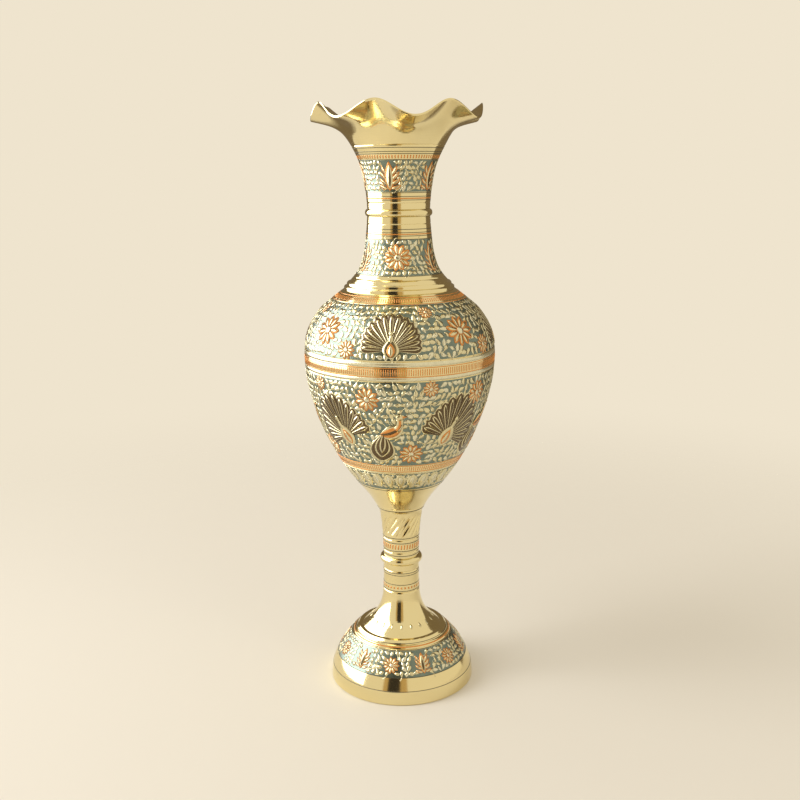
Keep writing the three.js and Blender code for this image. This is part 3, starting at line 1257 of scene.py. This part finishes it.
@dataclass
class MouthFlare(Section):
    """The throat and trumpet mouth, its lip pressed into lobes."""

    node: str = "mouth_flare"
    outline: Outline = Outline((
        (15.8, 254.2), (16.7, 264.36), (19.2, 276.044), (25.4, 287.982), (31.968, 293.5), (43.2, 296.6),
    ))
    finish: BrassFinish = BrassFinish("mouth_brass", bands=((262.6, 277.6),))
    wall: float = 1.1
    below: Profile = ((12.9, 243.5), (14.1, 243.5), (14.1, 254.2))
    above: Profile = ((43.3, 297.0), (43.0, 297.5))
    grooves: tuple[float, ...] = (257.2, 284.6)
    steps: int = 252
    motifs: tuple[Motif, ...] = (Palmette(0, 263.0, 277.2, 11.0, clear=(270.0, 4.6, 8.0)),)
    repeats: int = 5
    first_turn: float = -14
    ground: LeafGround | None = LeafGround(262.8, 277.4, 2.6, seed=51)
    lines: tuple[Line, ...] = (
        *dark_lines(0.3, 258.7, 260.4, 262.2, 277.8, 280.6, 281.6, 283.4), Line(259.5, 0.6, Ink.ORANGE),
    )
    tick_rows: tuple[TickRow, ...] = (TickRow(278.4, 280.0, 1.5),)
    lobes: int = 7
    first_lobe: float = math.radians(-15)
    lobe_rise: float = 7.5
    lobe_pull: float = 1.7
    root_radius: float = 23.0
    lip_radius: float = 43.2

    def shape(self, form: bmesh.types.BMesh) -> None:
        """Lifts and draws in the lip in even lobes.

        Args:
            form: the spun shell.
        """
        for vert in form.verts:
            radius = math.hypot(vert.co.x, vert.co.y) / MM
            share = (radius - self.root_radius) / (self.lip_radius - self.root_radius)
            reach = min(1.0, max(0.0, share))
            turn = math.atan2(vert.co.x, -vert.co.y)
            wave = 0.5 + 0.5 * math.cos(self.lobes * (turn - self.first_lobe))
            scale = 1 - self.lobe_pull * reach * wave / radius
            vert.co.x *= scale
            vert.co.y *= scale
            vert.co.z += self.lobe_rise * reach**1.4 * wave * MM


@dataclass
class Ring:
    """A turned ring between two sections, with a soft half-round face."""

    node: str
    base: float
    height: float
    radius: float
    bore: float
    finish: BrassFinish = BrassFinish("ring_brass")
    steps: int = 128
    arc_steps: int = 12

    def build(self) -> bpy.types.Object:
        """Spins the ring.

        Returns:
            The piece.
        """
        rise = self.height / 2
        bulge = rise * 0.8
        line = [(self.bore, self.base)]
        for step in range(self.arc_steps + 1):
            turn = -math.pi / 2 + math.pi * step / self.arc_steps
            reach = self.radius - bulge + bulge * math.cos(turn)
            line.append((reach, self.base + rise + rise * math.sin(turn)))
        line.append((self.bore, self.base + self.height))
        form = spin_shell(line, self.steps)
        bmesh.ops.recalc_face_normals(form, faces=form.faces)
        piece = finish_object(f"{self.node}_shell", form, self.finish.build())
        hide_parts(self.node)
        return piece

    def dress(self) -> None:
        """Leaves the ring plain, as the real one is."""


@dataclass(frozen=True)
class HiddenMetal:
    """The plain finish of pieces inside or under the vase, kept as their CAD nodes."""

    nodes: tuple[str, ...]
    colour: Triple
    roughness: float

    def dress(self) -> None:
        """Gives the nodes their finish."""
        material = LacFinish(f"{self.nodes[0]}_metal", self.colour, 1.0, self.roughness).build()
        for node in self.nodes:
            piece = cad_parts[node]
            if piece.material_slots:
                for place in piece.material_slots:
                    place.material = material
            else:
                piece.data.materials.append(material)


def vase_parts() -> list[Section | Ring]:
    """Returns the vase's sections and rings, from the foot upwards."""
    return [
        FootDome(), StemLower(), Ring("stem_ring", 66.0, 4.0, 11.4, 8.2), StemUpper(), BellyLower(),
        BellyUpper(), ShoulderCollar(), NeckLower(), Ring("neck_ring", 250.5, 3.7, 17.0, 14.4), MouthFlare(),
    ]


@dataclass(frozen=True)
class Lamp:
    """A soft rectangular lamp that the metal doesn't mirror."""

    name: str
    place: Triple
    target: Triple
    size: Pair
    power: float
    colour: Triple

    def build(self) -> None:
        """Hangs the lamp so that it faces its target."""
        light = bpy.data.lights.new(self.name, "AREA")
        light.shape = "RECTANGLE"
        light.size, light.size_y = self.size
        light.energy = self.power
        light.color = self.colour
        lamp = bpy.data.objects.new(self.name, light)
        lamp.location = self.place
        facing = Vector(self.target) - Vector(self.place)
        lamp.rotation_euler = facing.to_track_quat("-Z", "Y").to_euler()
        lamp.visible_glossy = False
        bpy.context.scene.collection.objects.link(lamp)


@dataclass(frozen=True)
class Card:
    """A card out of the picture that only the metal mirrors, turned about the upright."""

    name: str
    place: Triple
    size: Pair
    colour: Triple
    strength: float
    turn: float = 0.0

    def build(self) -> None:
        """Stands the card in its place."""
        form = bmesh.new()
        bmesh.ops.create_grid(form, x_segments=1, y_segments=1, size=0.5)
        across = Vector((math.cos(self.turn), math.sin(self.turn), 0.0))
        for vert in form.verts:
            rise = Vector((0.0, 0.0, vert.co.y * self.size[1]))
            vert.co = Vector(self.place) + across * vert.co.x * self.size[0] + rise
        nodes = Nodes(self.name)
        nodes.set(Base_Color=(0.0, 0.0, 0.0, 1.0), Specular_IOR_Level=0.0)
        nodes.set(Emission_Color=(*self.colour, 1.0), Emission_Strength=self.strength)
        card = add_mesh(self.name, form, nodes.material)
        card.visible_camera = False
        card.visible_diffuse = False
        card.visible_shadow = False


@dataclass
class Studio:
    """Pale floor and surroundings, soft lamps, mirrored cards and the camera at the photograph's angle."""

    backdrop: Triple = (0.863, 0.776, 0.617)
    ambient: float = 0.78
    floor_radius: float = 1.6
    floor_colour: Triple = (0.85, 0.82, 0.77)
    floor_fade: Pair = (0.12, 0.7)
    aside: float = 0.0008
    distance: float = 0.5024
    eye: float = 0.2706
    pitch: float = 12.93
    roll: float = 0.42
    lens: float = 44.1
    lamps: tuple[Lamp, ...] = (
        Lamp("window", (-0.85, -0.2, 0.72), (0.0, 0.0, 0.2), (0.55, 0.75), 6.0, (1.0, 0.99, 0.97)),
        Lamp("fill", (0.9, -0.9, 0.7), (0.0, 0.0, 0.15), (0.7, 0.9), 2.5, (1.0, 0.95, 0.84)),
    )
    cards: tuple[Card, ...] = (
        Card("window_pane", (-0.8, 0.25, 0.66), (1.33, 1.28), (1.0, 0.99, 0.97), 5.0, turn=UPRIGHT),
        Card("door_card", (-0.27, -1.15, 0.55), (0.42, 2.0), (0.7, 0.6, 0.5), 0.05),
        Card("amber_wall", (-0.28, -1.3, 0.55), (0.93, 2.0), (1.0, 0.68, 0.3), 0.55),
        Card("back_wall", (0.45, 0.75, 0.55), (2.3, 2.0), (1.0, 0.75, 0.45), 0.2),
    )

    def build(self) -> None:
        """Sets up the surroundings, floor, lamps, cards and camera."""
        self.world()
        self.floor()
        for thing in (*self.lamps, *self.cards):
            thing.build()
        self.camera()

    def world(self) -> None:
        """Makes the pale surroundings, dimmer as light than as they look."""
        world = bpy.data.worlds.new("surroundings")
        bpy.context.scene.world = world
        world.use_nodes = True
        tree = world.node_tree
        back = tree.nodes["Background"]
        back.inputs["Color"].default_value = (*self.backdrop, 1.0)
        rays = tree.nodes.new("ShaderNodeLightPath")
        seen = tree.nodes.new("ShaderNodeMath")
        seen.operation = "MAXIMUM"
        tree.links.new(rays.outputs["Is Camera Ray"], seen.inputs[0])
        tree.links.new(rays.outputs["Is Glossy Ray"], seen.inputs[1])
        level = tree.nodes.new("ShaderNodeMapRange")
        level.inputs["To Min"].default_value = self.ambient
        level.inputs["To Max"].default_value = 1.0
        tree.links.new(seen.outputs[0], level.inputs["Value"])
        tree.links.new(level.outputs["Result"], back.inputs["Strength"])

    def floor(self) -> None:
        """Makes the floor, which fades into the backdrop away from the vase."""
        form = bmesh.new()
        bmesh.ops.create_circle(form, cap_ends=True, radius=self.floor_radius, segments=96)
        nodes = Nodes("floor_paper")
        nodes.set(Base_Color=(*self.floor_colour, 1.0), Roughness=0.9, Specular_IOR_Level=0.0)
        reach = nodes.add("ShaderNodeVectorMath", operation="LENGTH")
        nodes.link(nodes.place, reach.inputs[0])
        fade = nodes.add("ShaderNodeMapRange", interpolation_type="SMOOTHSTEP")
        fade.inputs["From Min"].default_value, fade.inputs["From Max"].default_value = self.floor_fade
        fade.inputs["To Min"].default_value = 1.0
        fade.inputs["To Max"].default_value = 0.0
        nodes.link(reach.outputs["Value"], fade.inputs["Value"])
        nodes.link(fade.outputs["Result"], nodes.shader.inputs["Alpha"])
        floor = add_mesh("floor", form, nodes.material)

    def camera(self) -> None:
        """Stands the camera where the photograph was taken."""
        data = bpy.data.cameras.new("photo_camera")
        data.lens = self.lens
        data.sensor_width = 36.0
        camera = bpy.data.objects.new("photo_camera", data)
        camera.location = (self.aside, -self.distance, self.eye)
        camera.rotation_euler = (math.radians(90 - self.pitch), math.radians(self.roll), 0.0)
        bpy.context.scene.collection.objects.link(camera)
        bpy.context.scene.camera = camera


def main() -> None:
    """Builds the vase and its studio."""
    logging.basicConfig(level=logging.INFO, format="%(name)s: %(message)s")
    bpy.context.scene.view_settings.view_transform = "Standard"
    Studio().build()
    for part in vase_parts():
        piece = part.build()
        part.dress()
        LOG.info("built %s", piece.name)
    HiddenMetal(("waist_lap_ring", "foot_washer"), (0.55, 0.40, 0.18), 0.45).dress()
    HiddenMetal(("tie_rod", "foot_nut"), (0.55, 0.55, 0.54), 0.35).dress()


if __name__ == "__main__":
    main()
